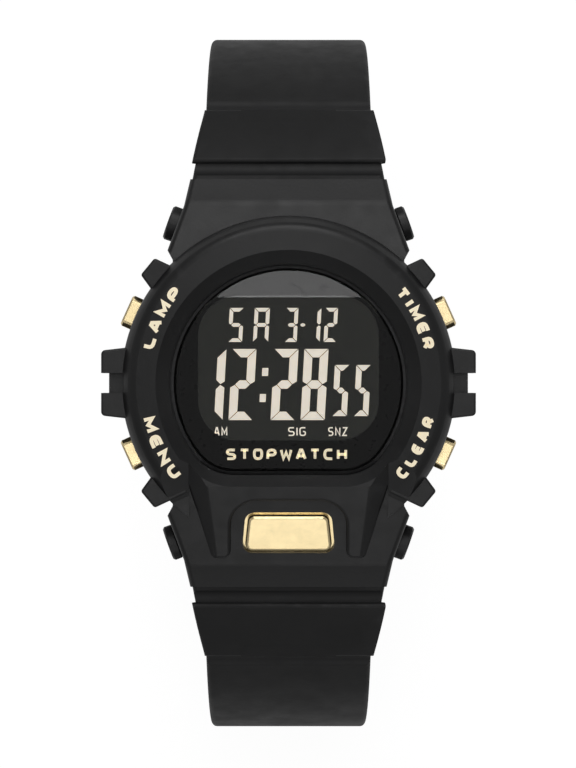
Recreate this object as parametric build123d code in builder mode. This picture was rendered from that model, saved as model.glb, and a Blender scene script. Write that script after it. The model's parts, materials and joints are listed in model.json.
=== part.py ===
from build123d import *

import os
from math import atan2, cos, degrees, radians, sin, sqrt, tan

# A midsize digital sports watch: resin guard, gilt pushers, resin strap with its buckle fastened.
# The dial faces +Z, twelve o'clock is +Y and three o'clock is +X. The origin is on the floor under
# the middle of the dial, where the fastened strap stands. Lengths are millimetres, angles degrees.

os.makedirs("parts", exist_ok=True)

overrun = 60.0
pin_clearance = 0.05
fit_gap = 0.1
layer_gap = 0.3

# Heights at the buckle, from the floor up
buckle_bar_thickness = 1.5
tail_thickness = 2.0
short_thickness = 2.2
wrist_height = 38.2
tail_bottom_z = buckle_bar_thickness + layer_gap
tail_top_z = tail_bottom_z + tail_thickness
short_bottom_z = tail_top_z + layer_gap
short_top_z = short_bottom_z + short_thickness
case_back_z = short_top_z + wrist_height

# Heights in the case, from the case back up
back_thickness = 1.2
buzzer_room = 1.2
holder_height = 2.0
board_thickness = 0.8
module_frame_height = 3.0
seat_thickness = 1.5
mask_thickness = 0.2
lens_thickness = 1.9
lens_recess = 1.2
rim_below_lens = 0.9
case_bottom_z = case_back_z + back_thickness
holder_bottom_z = case_bottom_z + buzzer_room
board_bottom_z = holder_bottom_z + holder_height
board_top_z = board_bottom_z + board_thickness
module_top_z = board_top_z + module_frame_height
seat_z = module_top_z + seat_thickness
lens_bottom_z = seat_z + mask_thickness
lens_top_z = lens_bottom_z + lens_thickness
bezel_top_z = lens_top_z + lens_recess
case_rim_z = lens_top_z - rim_below_lens

# Display: the window seen from the front, the panel under it
window_length = 20.0
window_width = 16.0
window_y = 1.65
window_corner_radius = 4.4
panel_margin = 0.4
backlight_thickness = 0.5
backlight_margin = 2.2
strip_width = 1.0
strip_inset = 3.0
strip_length = window_length - 2 * strip_inset

# Case middle, module and glass: the printed border sets the glass, and the glass sets the case
border_side = 2.65
border_foot = 3.35
lens_ledge = 0.65
case_wall = 2.9
module_clearance = 0.5
lens_corner_radius = 5.0
lens_edge_chamfer = 0.25
gasket_width = 0.35
gasket_gap = 0.03
lens_radius = window_length / 2 + border_side
lens_flat = window_width / 2 - window_y + border_foot
cavity_radius = lens_radius + lens_ledge
case_radius = cavity_radius + case_wall
module_radius = cavity_radius - module_clearance

# Bezel guard: the ring round the glass
guard_lift = 0.3
ring_slope = 1.95
ring_face = 2.7
ring_crest_width = 1.2
ring_edge_drop = 2.2
ring_crest_drop = 0.3
ring_bulge = 0.15
ring_round = 1.4
opening_gap = 0.45
opening_lip = 0.2
opening_flare_angle = 48.0
ring_inner_radius = lens_radius + ring_slope
ring_crest_radius = ring_inner_radius + ring_face
ring_radius = ring_crest_radius + ring_crest_width
guard_bottom_z = case_bottom_z + guard_lift

# Bezel guard: side guards at three and nine o'clock, diagonal guards between
guard_drop = 1.8
side_guard_proud = 2.2
side_guard_root_half = 4.1
side_guard_tip_half = 3.6
side_guard_corner = 0.5
notch_half = 1.1
notch_depth = 0.85
pocket_length = 1.65
pocket_depth = 1.0
diagonal_guard_angle = 39.6
diagonal_guard_proud = 1.7
diagonal_guard_root_half = 2.2
diagonal_guard_tip_half = 1.2
diagonal_guard_corner = 0.35
guard_edge_round = 0.25
side_guard_reach = ring_radius + side_guard_proud
diagonal_guard_reach = ring_radius + diagonal_guard_proud

# Strap ends: spring bars, the case's horns and the bumpers on the flanks
lug_bar_gap = 1.3
lug_bar_rise = 2.6
bar_radius = 0.75
bar_tip_radius = 0.4
bar_tip_length = 1.2
knuckle_wall = 0.8
tongue_half = 8.0
tongue_root_thickness = 2.4
horn_thickness = 1.7
horn_wall = 1.9
horn_corner = 1.3
bumper_radius = 1.95
bumper_thickness = 1.15
bumper_bevel = 0.2
bumper_pin_radius = 0.6
bumper_pin_length = 1.1
bumper_shift = 0.1
bumper_rise = 5.2
lug_bar_y = case_radius + lug_bar_gap
bumper_y = lug_bar_y + bumper_shift
lug_bar_z = case_back_z + lug_bar_rise
knuckle_radius = bar_radius + pin_clearance + knuckle_wall
horn_inner = tongue_half + layer_gap
horn_outer = horn_inner + horn_thickness
horn_reach = lug_bar_y + horn_wall
horn_top_z = lug_bar_z + horn_wall

# Bezel guard: the shoulders over the strap's ends
strap_end_half = 10.95
shoulder_cover = 5.2
shoulder_bend_length = 3.0
shoulder_bend_width = 0.65
flank_length = 5.0
flank_width = 1.8
flank_waist_length = 1.1
flank_waist_width = 0.6
shoulder_start_drop = 2.3
shoulder_ridge_length = 2.7
shoulder_ridge_drop = 4.3
shoulder_end_drop = 6.0
shoulder_ridge_round = 3.0
shoulder_edge_round = 0.7
shoulder_lift = 1.9
shoulder_reach = lug_bar_y + shoulder_cover
shoulder_bend_y = shoulder_reach - shoulder_bend_length
shoulder_ridge_y = shoulder_reach - shoulder_ridge_length
flank_root_y = shoulder_bend_y - flank_length
flank_waist_y = flank_root_y - flank_waist_length
shoulder_bend_half = strap_end_half + shoulder_bend_width
flank_root_half = shoulder_bend_half + flank_width
flank_waist_half = flank_root_half - flank_waist_width
shoulder_end_z = bezel_top_z - shoulder_end_drop
shoulder_tilt = degrees(atan2(shoulder_ridge_drop - shoulder_start_drop, shoulder_ridge_y - flank_waist_y))

# Bezel guard: the apron under the glass and the arch round the front button
ridge_gap = 1.7
ridge_inset = 3.65
ridge_drop = 0.25
ridge_side_rise = 3.0
ridge_side_inset = 1.65
apron_foot_inset = 3.3
apron_foot_half = 8.0
apron_foot_drop = 3.7
apron_side_drop = 1.3
apron_foot_side_half = 8.6
apron_foot_side_drop = 0.5
apron_edge_round = 0.6
ring_blend_slope = 28.0
ring_blend_angle = 25.0
arch_half = 6.4
arch_length = 7.0
arch_corner_radius = 3.0
arch_edge_round = 0.4
foot_round = 0.9
apron_wall = 1.3
ridge_half = lens_radius - ridge_inset
ridge_side_half = lens_radius - ridge_side_inset
ridge_y = lens_flat + ridge_gap
ridge_side_y = ridge_y - ridge_side_rise
apron_foot_y = shoulder_reach - apron_foot_inset
arch_foot_drop = shoulder_start_drop + (apron_foot_y - flank_waist_y) * tan(radians(shoulder_tilt))

# Front button, placed along the arch's floor from its foot
button_top_width = 8.9
button_bottom_width = 9.75
button_height = 4.15
button_along = 2.95
button_proud = 0.3
button_corner_radius = 0.8
button_bevel = 0.4
button_gap = 0.3
button_lip = 0.5
button_lip_thickness = 0.5
guard_lip_thickness = 0.5
button_travel = 0.6
button_well_depth = 2.0
button_stem_along = 3.8
button_stem_depth = 6.6
button_spring_depth = 1.1

# Side pushers
pusher_angle = 24.3
pusher_rise = 6.3
pusher_proud = 1.25
pusher_length = 3.65
pusher_height = 2.7
pusher_corner_radius = 0.7
pusher_thickness = 2.1
pusher_bevel = 0.2
pusher_seam_width = 0.14
pusher_seam_depth = 0.12
pusher_seam_inset = 0.6
pusher_gap = 0.3
pusher_travel = 0.6
stem_radius = 0.6
stem_overhang = 0.6
spring_depth = 1.2
spring_radius = 0.88
spring_wire_radius = 0.1
spring_turns = 4
well_radius = 1.05
seal_width = 0.34
seal_inset = 1.6
seal_gap = 0.02
clip_thickness = 0.25
clip_radius = 1.0
clip_mouth = 0.7
groove_depth = 0.2
pusher_reach = ring_radius + pusher_proud
pusher_z = case_back_z + pusher_rise
pusher_angles = [pusher_angle, 180 - pusher_angle, 180 + pusher_angle, -pusher_angle]
pusher_names = ["upper_right", "upper_left", "lower_left", "lower_right"]

# Strap: half-ellipses seen from the side, one line of widths seen from the front
loop_reach = 40.1
loop_middle_z = 25.5
arm_thickness = 2.4
arm_end_height = 3.5
strap_start_drop = 0.4
run_reach = 20.0
strap_half = 8.5
strap_step_half = 9.3
strap_run_height = 9.0
strap_flare_share = 0.3
plate_inset = 1.8
plate_length = 6.2
plate_height = 0.6
plate_side = 0.1
plate_round = 0.4
valley_radius = 1.4
valley_depth = 0.32
valley_offset = 0.6
mark_half = 5.4
mark_taper = 0.5
mark_length = 1.3
mark_depth = 0.1
strap_edge_round = 0.6
strap_start_y = shoulder_reach
plate_start_y = strap_start_y + plate_inset
plate_step_y = plate_start_y + plate_length
strap_start_z = shoulder_end_z - strap_start_drop

# Tail of the long strap and its row of slots
tail_reach = 24.0
tail_tip_radius = 5.5
slot_y = 1.85
slot_length = 3.5
slot_width = 2.8
slot_pitch = 6.5
slots_towards_tip = 2
slots_towards_case = 3

# Buckle and keepers
hinge_y = 4.0
buckle_tongue_width = 2.2
buckle_tongue_thickness = 0.7
buckle_slot_gap = 0.3
tongue_bend_y = 2.5
tongue_drop_y = 0.0
tongue_tip_reach = 7.3
tongue_floor_gap = 0.1
tongue_bend_radius = 0.8
frame_gap = 0.3
frame_arm_thickness = 1.6
frame_eye_radius = 1.5
front_bar_reach = 5.95
front_bar_width = 1.9
frame_notch_depth = 0.95
frame_edge_round = 0.35
keeper_wall = 1.1
fixed_keeper_y = 8.9
fixed_keeper_width = 3.4
free_keeper_y = 14.9
free_keeper_width = 3.6
keeper_gap = 0.15
keeper_corner_radius = 1.2
keeper_edge_round = 0.35
hinge_z = short_bottom_z + knuckle_radius

# Case back
back_inset = 0.4
back_chamfer = 0.4
back_ring_inset = 4.4
back_ring_width = 0.5
back_ring_depth = 0.2
screw_ledge = 1.5
screw_head_radius = 0.8
screw_head_height = 0.5
screw_recess = 0.05
screw_radius = 0.45
screw_length = 3.0
screw_slot_width = 0.22
screw_slot_depth = 0.2
step_width = 0.5
step_height = 0.45
back_radius = case_radius - back_inset
back_ring_radius = back_radius - back_ring_inset
screw_circle = cavity_radius + screw_ledge

# Inside the module
cell_radius = 10.0
cell_thickness = 1.6
cell_y = 1.8
cell_clearance = 0.15
battery_clip_width = 4.0
battery_clip_thickness = 0.3
battery_clip_overhang = 1.2
buzzer_radius = 5.8
buzzer_thickness = 0.25
buzzer_y = -6.0
buzzer_spring_y = -10.0
buzzer_hole_radius = 1.1
board_inset = 0.6
chip_size = 6.0
chip_height = 1.0
crystal_radius = 0.75
crystal_length = 5.0
crystal_gap = 2.0
crystal_rise = 2.75
cavity_margin = 1.8
cavity_height = 1.9
contact_thickness = 0.2
contact_width = 1.6
contact_height = 2.2
frame_window_width = 3.2
frame_window_depth = 1.6
front_pocket_half = 1.6
front_pocket_margin = 0.85
front_pocket_lift = 0.9
front_leaf_half = 0.6
front_leaf_inset = 0.2
front_leaf_margin = 0.45
front_leaf_lift = 0.4
board_radius = module_radius - board_inset
battery_clip_length = 2 * cell_radius + 2 * battery_clip_overhang
cavity_length = window_length - 2 * cavity_margin
cavity_width = window_width - 2 * backlight_margin
crystal_x = cavity_length / 2 - crystal_gap
crystal_y = window_y + crystal_rise
front_leaf_root_y = board_radius - front_leaf_inset


def save(piece, name):
    """Labels a finished piece and writes it as its own file."""
    piece.label = name
    export_step(piece, "parts/" + name + ".step")


def lens_outline(height, margin):
    """The glass's outline at a height: a circle with a flat lower edge, grown by a margin."""
    with BuildSketch(Plane.XY.offset(height)) as outline:
        Circle(lens_radius + margin)
        with Locations((0, -lens_flat - margin)):
            Rectangle(overrun, overrun, align=(Align.CENTER, Align.MAX), mode=Mode.SUBTRACT)
        fillet(outline.vertices(), lens_corner_radius + margin)
    return outline.sketch


def window_outline(height, margin):
    """The display window's outline at a height, grown by a margin."""
    with BuildSketch(Plane.XY.offset(height)) as outline:
        with Locations((0, window_y)):
            RectangleRounded(
                window_length + 2 * margin,
                window_width + 2 * margin,
                window_corner_radius + margin,
            )
    return outline.sketch


def arch_plane(along, depth):
    """A plane on the arch's floor: so far up from its foot, so deep under it."""
    tilt = radians(shoulder_tilt)
    centre_y = -apron_foot_y + along * cos(tilt) + depth * sin(tilt)
    centre_z = bezel_top_z - arch_foot_drop + along * sin(tilt) - depth * cos(tilt)
    return Plane(origin=(0, centre_y, centre_z), x_dir=(1, 0, 0), z_dir=(0, -sin(tilt), cos(tilt)))


button_tip_y = -arch_plane(button_stem_along, button_stem_depth).origin.Y
front_pocket_reach = button_tip_y + front_pocket_margin
front_leaf_reach = button_tip_y + front_leaf_margin


def button_outline(depth, margin):
    """The front button's outline, wider at its foot, at a depth under the arch's floor."""
    top_half = button_top_width / 2 + margin
    bottom_half = button_bottom_width / 2 + margin
    half_height = button_height / 2 + margin
    with BuildSketch(arch_plane(button_along, depth)) as outline:
        Polygon(
            (-bottom_half, -half_height),
            (bottom_half, -half_height),
            (top_half, half_height),
            (-top_half, half_height),
            align=None,
        )
        fillet(outline.vertices(), button_corner_radius + margin)
    return outline.sketch


def radial_plane(angle, radius):
    """A plane facing outward along a pusher's radius, at the pushers' height."""
    across = (cos(radians(angle)), sin(radians(angle)), 0)
    centre = (radius * across[0], radius * across[1], pusher_z)
    return Plane(origin=centre, x_dir=(-across[1], across[0], 0), z_dir=across)


def pusher_outline(angle, radius, margin):
    """A side pusher's rounded outline, grown by a margin."""
    with BuildSketch(radial_plane(angle, radius)) as outline:
        RectangleRounded(
            pusher_length + 2 * margin,
            pusher_height + 2 * margin,
            pusher_corner_radius + margin,
        )
    return outline.sketch


def disc(plane, radius):
    """A round outline on a plane."""
    with BuildSketch(plane) as outline:
        Circle(radius)
    return outline.sketch


def washer(plane, outer_radius, inner_radius, thickness):
    """A flat ring standing on a plane."""
    with BuildPart() as ring:
        extrude(disc(plane, outer_radius), amount=thickness)
        extrude(disc(plane, inner_radius), amount=thickness, mode=Mode.SUBTRACT)
    return ring.part


def flank_plane(side_x, side_y):
    """A plane on one flank of a shoulder, facing out, at a bumper's centre."""
    run_x = flank_root_half - shoulder_bend_half
    run_y = shoulder_bend_y - flank_root_y
    slope_length = sqrt(run_x**2 + run_y**2)
    centre_x = flank_root_half - (bumper_y - flank_root_y) * run_x / run_y
    outward = (side_x * run_y / slope_length, side_y * run_x / slope_length, 0)
    centre = (side_x * centre_x, side_y * bumper_y, case_back_z + bumper_rise)
    return Plane(origin=centre, x_dir=(-outward[1], outward[0], 0), z_dir=outward)


def case_body(margin):
    """The case middle's outer form, grown by a margin: a drum cut back under the apron."""
    with BuildPart() as body:
        drum = disc(Plane.XY.offset(case_bottom_z), case_radius + margin)
        extrude(drum, amount=case_rim_z - case_bottom_z)
        with BuildSketch(arch_plane(button_along, apron_wall - margin)):
            Rectangle(overrun, overrun)
        extrude(amount=overrun, mode=Mode.SUBTRACT)
    return body.part


def strap_tongue(margin):
    """The narrow end of a strap half, round its spring bar and out to the shoulder's end."""
    root_top = strap_start_z - strap_start_drop - layer_gap
    with BuildPart() as end:
        with BuildSketch(Plane.YZ) as profile:
            with BuildLine():
                CenterArc((lug_bar_y, lug_bar_z), knuckle_radius + margin, 0, 360)
                Polyline(
                    (strap_start_y + margin, root_top + margin),
                    (strap_start_y + margin, root_top - tongue_root_thickness - margin),
                )
            make_hull()
        extrude(amount=tongue_half + margin, both=True)
    return end.part


def coil(plane, length, turns):
    """A coil spring that stands on a plane."""
    rise = length - 2 * spring_wire_radius
    path = Helix(rise / turns, rise, spring_radius - spring_wire_radius)
    with BuildPart() as wound:
        with BuildSketch(Plane(origin=path @ 0, z_dir=path % 0)):
            Circle(spring_wire_radius)
        sweep(path=path, is_frenet=True)
    return plane.offset(spring_wire_radius).location * wound.part


def seal_ring(plane):
    """A rubber ring round a stem, lying on a plane."""
    wire_radius = seal_width / 2 - seal_gap
    ring = Torus(stem_radius + seal_gap + wire_radius, wire_radius, mode=Mode.PRIVATE)
    return plane.offset(seal_width / 2).location * ring


def spring_bar(centre_y, centre_z, body_half, tip_half):
    """A spring bar along X: its barrel and a thinner tip at each end."""
    with BuildPart() as bar:
        with BuildSketch(Plane.YZ):
            with Locations((centre_y, centre_z)):
                Circle(bar_radius)
        extrude(amount=body_half, both=True)
        with BuildSketch(Plane.YZ):
            with Locations((centre_y, centre_z)):
                Circle(bar_tip_radius)
        extrude(amount=tip_half, both=True)
        tip_edges = bar.edges().filter_by(GeomType.CIRCLE).group_by(Axis.X)
        chamfer(tip_edges[0] + tip_edges[-1], bar_tip_radius / 4)
    return bar.part


# Bezel guard, built from its ring, its guards, its shoulders and its apron

shoulder_outline = [
    (strap_end_half, shoulder_reach),
    (shoulder_bend_half, shoulder_bend_y),
    (flank_root_half, flank_root_y),
    (flank_waist_half, flank_waist_y),
    (flank_waist_half, 0),
]


def shoulder():
    """The guard's end at twelve o'clock, from its plan outline and its side profile."""
    left_side = [(-x, y) for x, y in reversed(shoulder_outline)]
    with BuildPart() as end:
        with BuildSketch(Plane.XY.offset(guard_bottom_z)):
            Polygon(*shoulder_outline, *left_side, align=None)
        extrude(amount=overrun)
        with BuildSketch(Plane.YZ):
            with BuildLine():
                FilletPolyline(
                    (0, guard_bottom_z),
                    (0, bezel_top_z - shoulder_start_drop),
                    (flank_waist_y, bezel_top_z - shoulder_start_drop),
                    (shoulder_ridge_y, bezel_top_z - shoulder_ridge_drop),
                    (shoulder_reach, shoulder_end_z),
                    (shoulder_reach, guard_bottom_z + shoulder_lift),
                    (flank_root_y, guard_bottom_z),
                    close=True,
                    radius=[0, 0, shoulder_ridge_round, shoulder_ridge_round, 0, 0, 0],
                )
            make_face()
        extrude(amount=overrun, both=True, mode=Mode.INTERSECT)
        top_faces = end.faces().filter_by(lambda face: face.normal_at().Z > 0.4)
        flank_edges = ShapeList(
            edge
            for face in top_faces
            for edge in face.edges()
            if abs(edge.tangent_at(0.5).X) < 0.5 and edge.center().Y > flank_root_y
        )
        fillet(flank_edges, shoulder_edge_round)
    return end.part


def guard_block(angle, reach, root_half, tip_half, corner):
    """One block that guards the pushers, standing out from the ring at an angle."""
    root = case_radius + fit_gap
    with BuildPart() as block:
        with BuildSketch(Plane.XY.offset(guard_bottom_z)) as plan:
            Polygon((root, -root_half), (reach, -tip_half), (reach, tip_half), (root, root_half), align=None)
            fillet(plan.vertices().group_by(Axis.X)[-1], corner)
        extrude(amount=bezel_top_z - guard_drop - guard_bottom_z)
        top_edges = block.faces().sort_by(Axis.Z)[-1].edges()
        fillet(top_edges.filter_by(lambda edge: edge.center().X > root + fit_gap), guard_edge_round)
    return Rotation(0, 0, angle) * block.part


def apron_section(station_y, top_half, top_drop, side_half, side_drop):
    """The apron's section at one distance from the dial's middle."""
    top_z = bezel_top_z - top_drop
    base_z = horn_top_z + fit_gap
    with BuildSketch(Plane(origin=(0, -station_y, 0), x_dir=(1, 0, 0), z_dir=(0, -1, 0))) as section:
        Polygon(
            (-side_half, base_z),
            (side_half, base_z),
            (side_half, top_z - side_drop),
            (top_half, top_z),
            (-top_half, top_z),
            (-side_half, top_z - side_drop),
            align=None,
        )
    return section.sketch


def slope_edges(piece):
    """The edges of the apron's slope, below its ridge."""
    slope_faces = piece.faces().filter_by(lambda face: 0.3 < -face.normal_at().Y < 0.7)
    edges = slope_faces.sort_by(SortBy.AREA)[-1].edges()
    return edges.filter_by(lambda edge: edge.center().Y < -ridge_y - fit_gap)


def apron():
    """The apron: a slope from the glass's lower edge to two feet, with an arch round the button."""
    start = apron_section(ridge_side_y, ridge_side_half - fit_gap, ridge_drop, ridge_side_half, fit_gap)
    ridge = apron_section(ridge_y, ridge_half, ridge_drop, ridge_side_half, apron_side_drop)
    foot = apron_section(
        apron_foot_y, apron_foot_half, apron_foot_drop, apron_foot_side_half, apron_foot_side_drop
    )
    with BuildPart() as slope:
        loft([start, ridge], ruled=True)
        loft([ridge, foot], ruled=True)
        with BuildSketch(arch_plane(arch_length, 0)) as arch:
            Rectangle(2 * arch_half, overrun, align=(Align.CENTER, Align.MAX))
            fillet(arch.vertices().group_by(Axis.Z)[-1], arch_corner_radius)
        extrude(amount=overrun, mode=Mode.SUBTRACT)
        foot_wall = slope.faces().sort_by(Axis.Y)[0]
        fillet(foot_wall.edges().filter_by(lambda edge: abs(edge.tangent_at(0.5).Z) > 0.9), foot_round)
        arch_edges = slope_edges(slope).filter_by(
            lambda edge: abs(edge.center().X) < arch_half + fit_gap
            and edge.center().Y > -apron_foot_y + foot_round / 2
        )
        fillet(arch_edges, arch_edge_round)
        outer_edges = slope_edges(slope).filter_by(
            lambda edge: abs(edge.center().X) > arch_half + foot_round and edge.length > 2 * foot_round
        )
        fillet(outer_edges, apron_edge_round)
    return slope.part


def ring_blend():
    """A slanted cut that lets the ring fall away beside the apron, on the left."""
    turn = radians(ring_blend_angle)
    lean = radians(ring_blend_slope)
    falls = Plane(
        origin=(-ridge_side_half, -ridge_side_y, bezel_top_z - ridge_drop),
        x_dir=(-cos(turn), -sin(turn), 0),
        z_dir=(sin(turn) * sin(lean), -cos(turn) * sin(lean), cos(lean)),
    )
    with BuildPart() as wedge:
        with BuildSketch(falls):
            Rectangle(2 * overrun, 2 * overrun)
        extrude(amount=overrun)
        with BuildSketch(Plane.XY.offset(bezel_top_z - ring_edge_drop)):
            with Locations((0, -ridge_side_y)):
                Rectangle(overrun, overrun, align=(Align.MAX, Align.MAX))
        extrude(amount=overrun, mode=Mode.INTERSECT)
    return wedge.part


with BuildPart() as bezel_guard:
    with BuildSketch(Plane.XZ):
        with BuildLine():
            edge_point = (ring_radius, bezel_top_z - ring_edge_drop)
            crest_point = (ring_crest_radius, bezel_top_z - ring_crest_drop)
            Polyline((0, bezel_top_z), (0, guard_bottom_z), (ring_radius, guard_bottom_z), edge_point)
            SagittaArc(edge_point, crest_point, -ring_bulge)
            Polyline(crest_point, (ring_inner_radius, bezel_top_z), (0, bezel_top_z))
        make_face()
    revolve(axis=Axis.Z)
    crest_z = bezel_top_z - ring_edge_drop - fit_gap
    ring_edges = bezel_guard.edges().filter_by(GeomType.CIRCLE)
    fillet(ring_edges.filter_by(lambda edge: edge.center().Z > crest_z), ring_round)
    with BuildSketch(Plane.XY.offset(bezel_top_z - arch_foot_drop)):
        Polygon(
            (-ridge_side_half, -ridge_side_y),
            (-ridge_side_half, -overrun),
            (ridge_side_half, -overrun),
            (ridge_side_half, -ridge_side_y),
            align=None,
        )
    extrude(amount=overrun, mode=Mode.SUBTRACT)
    add(ring_blend(), mode=Mode.SUBTRACT)
    add(mirror(ring_blend(), about=Plane.YZ, mode=Mode.PRIVATE), mode=Mode.SUBTRACT)
    add(apron())
    add(shoulder())
    add(mirror(shoulder(), about=Plane.XZ, mode=Mode.PRIVATE))
    for angle in (0, 180):
        add(
            guard_block(
                angle,
                side_guard_reach,
                side_guard_root_half,
                side_guard_tip_half,
                side_guard_corner,
            )
        )
    for angle in (diagonal_guard_angle, 180 - diagonal_guard_angle):
        for turn in (0, 180):
            add(
                guard_block(
                    angle + turn,
                    diagonal_guard_reach,
                    diagonal_guard_root_half,
                    diagonal_guard_tip_half,
                    diagonal_guard_corner,
                )
            )
    # Notches in the side guards
    notch_x = side_guard_reach - notch_depth
    with BuildSketch(Plane.XY):
        for side in (1, -1):
            with Locations((side * (notch_x + overrun / 2), 0)):
                Rectangle(overrun, 2 * notch_half)
    extrude(amount=bezel_top_z, mode=Mode.SUBTRACT)
    with BuildSketch(Plane.XY.offset(bezel_top_z - guard_drop - pocket_depth)):
        for side in (1, -1):
            with Locations((side * (notch_x - pocket_length / 2), 0)):
                Rectangle(pocket_length, 2 * notch_half)
    extrude(amount=overrun, mode=Mode.SUBTRACT)
    # Room for the case, the straps and the glass
    add(case_body(fit_gap), mode=Mode.SUBTRACT)
    extrude(lens_outline(seat_z, opening_gap), amount=overrun, mode=Mode.SUBTRACT)
    extrude(
        lens_outline(lens_top_z - opening_lip, opening_gap),
        amount=lens_recess + opening_lip,
        taper=-opening_flare_angle,
        mode=Mode.SUBTRACT,
    )
    for side in (1, -1):
        with BuildSketch(Plane.XY):
            with Locations((0, side * horn_reach / 2)):
                Rectangle(2 * horn_outer + 2 * fit_gap, horn_reach + 2 * fit_gap)
        extrude(amount=horn_top_z + fit_gap, mode=Mode.SUBTRACT)
    add(strap_tongue(layer_gap), mode=Mode.SUBTRACT)
    add(mirror(strap_tongue(layer_gap), about=Plane.XZ, mode=Mode.PRIVATE), mode=Mode.SUBTRACT)
    # Holes for the pushers and the front button, and for the bumpers' pins
    for angle in pusher_angles:
        pusher_hole = pusher_outline(angle, case_radius - fit_gap, pusher_gap)
        extrude(pusher_hole, amount=overrun, mode=Mode.SUBTRACT)
    extrude(button_outline(apron_wall, button_gap), amount=overrun, mode=Mode.SUBTRACT)
    extrude(
        button_outline(button_well_depth, button_lip + button_gap),
        amount=button_well_depth - guard_lip_thickness,
        mode=Mode.SUBTRACT,
    )
    for side_x in (1, -1):
        for side_y in (1, -1):
            extrude(
                disc(flank_plane(side_x, side_y), bumper_pin_radius + pin_clearance),
                amount=-bumper_pin_length - fit_gap,
                mode=Mode.SUBTRACT,
            )
save(bezel_guard.part, "bezel_guard")

# Case middle

with BuildPart() as case_middle:
    add(case_body(0))
    for side_x in (1, -1):
        for side_y in (1, -1):
            with BuildSketch(Plane.YZ.offset(side_x * (horn_inner + horn_thickness / 2))) as horn:
                with Locations((side_y * horn_reach / 2, (case_bottom_z + horn_top_z) / 2)):
                    Rectangle(horn_reach, horn_top_z - case_bottom_z)
                outer_corners = horn.vertices().sort_by(Axis.Y)
                fillet(outer_corners[2:] if side_y > 0 else outer_corners[:2], horn_corner)
            extrude(amount=horn_thickness / 2, both=True)
    add(strap_tongue(layer_gap), mode=Mode.SUBTRACT)
    add(mirror(strap_tongue(layer_gap), about=Plane.XZ, mode=Mode.PRIVATE), mode=Mode.SUBTRACT)
    strap_room_y = lug_bar_y - knuckle_radius - layer_gap
    with BuildSketch(Plane.XY):
        for side in (1, -1):
            with Locations((0, side * (strap_room_y + overrun / 2))):
                Rectangle(2 * horn_inner, overrun)
    extrude(amount=lug_bar_z, mode=Mode.SUBTRACT)
    for side in (1, -1):
        with BuildSketch(Plane.YZ):
            with Locations((side * lug_bar_y, lug_bar_z)):
                Circle(bar_tip_radius + pin_clearance)
        extrude(amount=horn_inner + bar_tip_length + fit_gap, both=True, mode=Mode.SUBTRACT)
    # The module's cavity, the display's hole and the glass's seat
    case_floor = Plane.XY.offset(case_bottom_z)
    extrude(disc(case_floor, cavity_radius), amount=module_top_z - case_bottom_z, mode=Mode.SUBTRACT)
    extrude(disc(case_floor, cavity_radius + step_width), amount=step_height, mode=Mode.SUBTRACT)
    extrude(window_outline(module_top_z, panel_margin + fit_gap), amount=seat_thickness, mode=Mode.SUBTRACT)
    extrude(lens_outline(seat_z, gasket_width + gasket_gap), amount=overrun, mode=Mode.SUBTRACT)
    # Pusher bores with a well for the spring and a groove for the seal
    for angle in pusher_angles:
        extrude(
            disc(radial_plane(angle, board_radius), stem_radius + pin_clearance),
            amount=overrun,
            mode=Mode.SUBTRACT,
        )
        well = disc(radial_plane(angle, case_radius - spring_depth), well_radius)
        extrude(well, amount=overrun, mode=Mode.SUBTRACT)
        extrude(
            disc(radial_plane(angle, case_radius - seal_inset - seal_width), stem_radius + seal_width),
            amount=seal_width,
            mode=Mode.SUBTRACT,
        )
    # Front button's well, bore and pocket
    extrude(button_outline(button_well_depth, button_lip + button_gap), amount=overrun, mode=Mode.SUBTRACT)
    extrude(
        disc(arch_plane(button_stem_along, button_well_depth), well_radius),
        amount=-button_spring_depth,
        mode=Mode.SUBTRACT,
    )
    extrude(
        disc(arch_plane(button_stem_along, button_well_depth), stem_radius + pin_clearance),
        amount=button_well_depth - button_stem_depth - button_travel,
        mode=Mode.SUBTRACT,
    )
    extrude(
        disc(arch_plane(button_stem_along, button_well_depth + seal_inset), stem_radius + seal_width),
        amount=-seal_width,
        mode=Mode.SUBTRACT,
    )
    with BuildSketch(Plane.XY.offset(case_bottom_z + front_pocket_lift)):
        with Locations((0, -front_pocket_reach / 2)):
            Rectangle(2 * front_pocket_half, front_pocket_reach)
    extrude(amount=board_bottom_z - case_bottom_z - front_pocket_lift, mode=Mode.SUBTRACT)
    # Screw holes in the underside
    with BuildSketch(Plane.XY.offset(case_bottom_z)):
        with PolarLocations(screw_circle, 4, start_angle=45):
            Circle(screw_radius + pin_clearance)
    extrude(amount=screw_length, mode=Mode.SUBTRACT)
save(case_middle.part, "case_middle")

# Glass, its gasket, and the printed mask with the display's window

with BuildPart() as lens:
    extrude(lens_outline(lens_bottom_z, 0), amount=lens_thickness)
    chamfer(lens.faces().sort_by(Axis.Z)[-1].edges(), lens_edge_chamfer)
save(lens.part, "lens")

with BuildPart() as lens_gasket:
    extrude(lens_outline(seat_z, gasket_width), amount=case_rim_z - seat_z)
    extrude(lens_outline(seat_z, gasket_gap), amount=overrun, mode=Mode.SUBTRACT)
    with BuildSketch(arch_plane(button_along, apron_wall)):
        Rectangle(overrun, overrun)
    extrude(amount=overrun, mode=Mode.SUBTRACT)
save(lens_gasket.part, "lens_gasket")

with BuildPart() as dial_mask:
    extrude(lens_outline(seat_z, 0), amount=mask_thickness)
    extrude(window_outline(seat_z, 0), amount=mask_thickness, mode=Mode.SUBTRACT)
save(dial_mask.part, "dial_mask")

# Display and backlight

with BuildPart() as lcd_panel:
    extrude(window_outline(module_top_z, panel_margin), amount=seat_thickness)
save(lcd_panel.part, "lcd_panel")

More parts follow.
